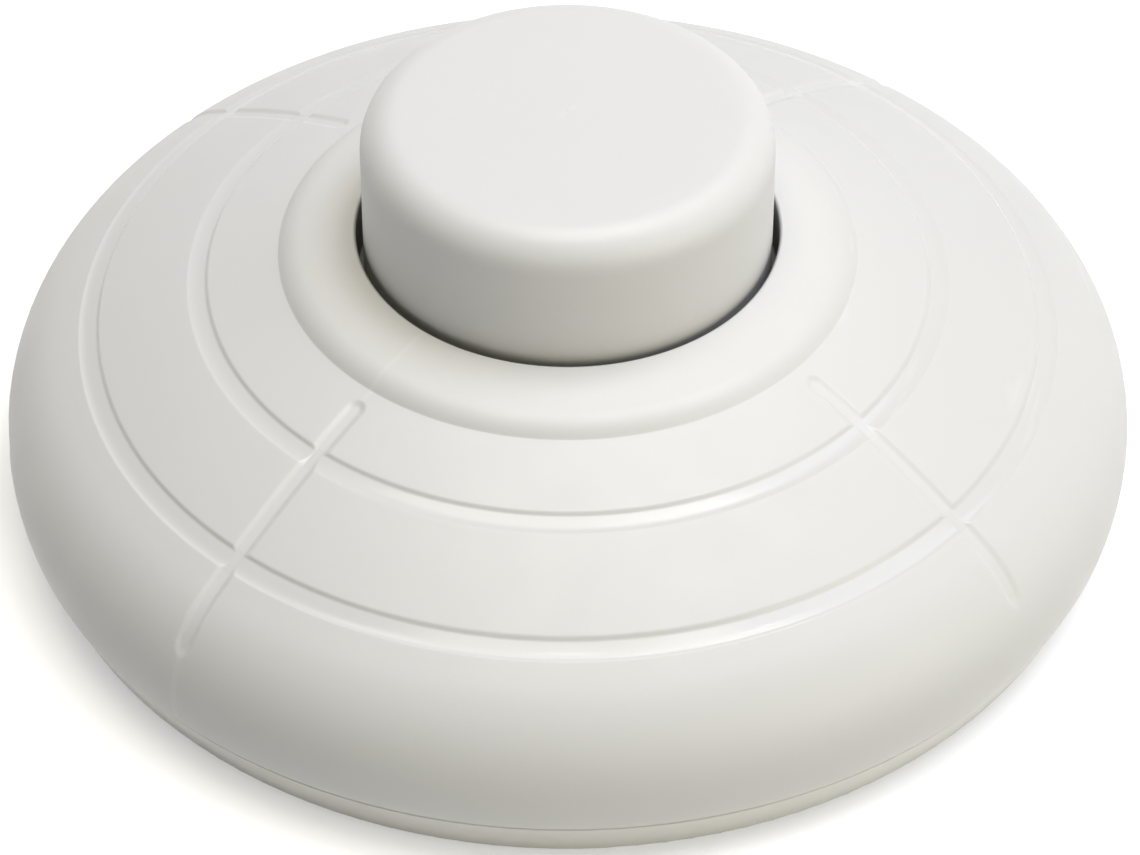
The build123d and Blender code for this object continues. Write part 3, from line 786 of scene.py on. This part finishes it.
def make_camera(azimuth, elevation, distance, aim, lens):
    """The camera at the photograph's angle, its distance and aim in millimetres."""
    data = bpy.data.cameras.new("camera")
    data.lens = lens
    data.sensor_width = sensor_width
    data.sensor_fit = "HORIZONTAL"
    data.clip_start = nearest_view
    camera = bpy.data.objects.new("camera", data)
    bpy.context.scene.collection.objects.link(camera)
    a = radians(azimuth)
    e = radians(elevation)
    back = Vector((sin(a) * cos(e), -cos(a) * cos(e), sin(e)))
    camera.location = (Vector(aim) + back * distance) * MM
    camera.rotation_mode = "QUATERNION"
    camera.rotation_quaternion = back.to_track_quat("Z", "Y")
    bpy.context.scene.camera = camera


# Finishes by material slot: the grain is a bump strength, brushed is how the rolling marks are squeezed
plastics = {
    "cover_plastic": {
        "colour": (0.80, 0.797, 0.780),
        "shade": (0.79, 0.786, 0.766),
        "roughness": 0.43,
        "grain": 0.30,
        "gap_shade": shade_on_bore,
        "polished": in_rings,
    },
    "base_plastic": {
        "colour": (0.825, 0.816, 0.775),
        "shade": (0.81, 0.80, 0.757),
        "roughness": 0.38,
        "grain": 0.45,
    },
    "button_plastic": {
        "colour": (0.84, 0.836, 0.825),
        "shade": (0.83, 0.825, 0.81),
        "roughness": 0.40,
        "grain": 0.30,
        "gap_shade": shade_below_collar,
    },
    "nylon": {
        "colour": (0.72, 0.70, 0.63),
        "shade": (0.70, 0.68, 0.60),
        "roughness": 0.45,
        "grain": 0.4,
    },
    "wheel_plastic": {
        "colour": (0.10, 0.10, 0.11),
        "shade": (0.08, 0.08, 0.085),
        "roughness": 0.40,
        "grain": 0.4,
    },
}
metals = {
    "brass": {
        "colour": (0.78, 0.57, 0.22),
        "tarnish": (0.55, 0.36, 0.13),
        "roughness": 0.30,
        "brushed": (1, 14, 14),
    },
    "bronze": {
        "colour": (0.76, 0.49, 0.28),
        "tarnish": (0.52, 0.31, 0.17),
        "roughness": 0.28,
        "brushed": (1, 16, 16),
    },
    "screw_steel": {
        "colour": (0.62, 0.62, 0.60),
        "tarnish": (0.46, 0.46, 0.45),
        "roughness": 0.34,
        "brushed": (12, 12, 1),
    },
    "shaft_steel": {
        "colour": (0.60, 0.60, 0.60),
        "tarnish": (0.50, 0.50, 0.50),
        "roughness": 0.22,
        "brushed": (14, 1, 14),
    },
    "spring_steel": {
        "colour": (0.55, 0.55, 0.56),
        "tarnish": (0.40, 0.39, 0.40),
        "roughness": 0.26,
        "brushed": (1, 1, 1),
    },
}
finishes = {slot: moulded(slot, **look) for slot, look in plastics.items()}
finishes.update({slot: metal(slot, **look) for slot, look in metals.items()})

# Lamps: soft boxes light the part, and small lamps put the glints in the ring grooves
soft_boxes = {
    "top": {"direction": (0.0, 0.04, 1.0), "power": 5.25, "colour": (1.0, 0.955, 0.83)},
    "right": {"direction": (0.42, 0.08, 0.90), "power": 3.75, "colour": (0.70, 0.77, 1.0)},
    "fill": {"direction": (0.76, -0.64, 0.18), "power": 2.7, "colour": (1.0, 0.935, 0.68)},
}
glints = {
    "inner_glint": {"direction": (0.24, 0.24, 0.94), "power": 0.05, "size": 0.03},
    "outer_glint": {"direction": (0.347, -0.045, 0.937), "power": 0.12, "size": 0.03},
    "front_glint": {"direction": (-0.01, -0.12, 0.99), "power": 0.10, "size": 0.04},
}

for subpart in frame["record"]["subparts"]:
    paint(frame["nodes"][subpart["node"]], finishes[subpart["material_slot"]])

cover = make_cover()
cut_inlets(cover)
paint(cover, finishes["cover_plastic"])
paint(make_button(), finishes["button_plastic"])
paint(make_spring(), finishes["spring_steel"])

make_floor()
make_world(level=0.004, tint=(1.0, 0.95, 0.80))
for name, lamp in soft_boxes.items():
    make_light(name, distance=soft_box_distance, size=soft_box_size, **lamp)
for name, lamp in glints.items():
    make_light(name, distance=glint_distance, colour=white, **lamp)
make_camera(azimuth=-4.65, elevation=42.87, distance=200.0, aim=(0.12, 0, 1.5), lens=112.1)
bpy.context.scene.view_settings.view_transform = "Standard"
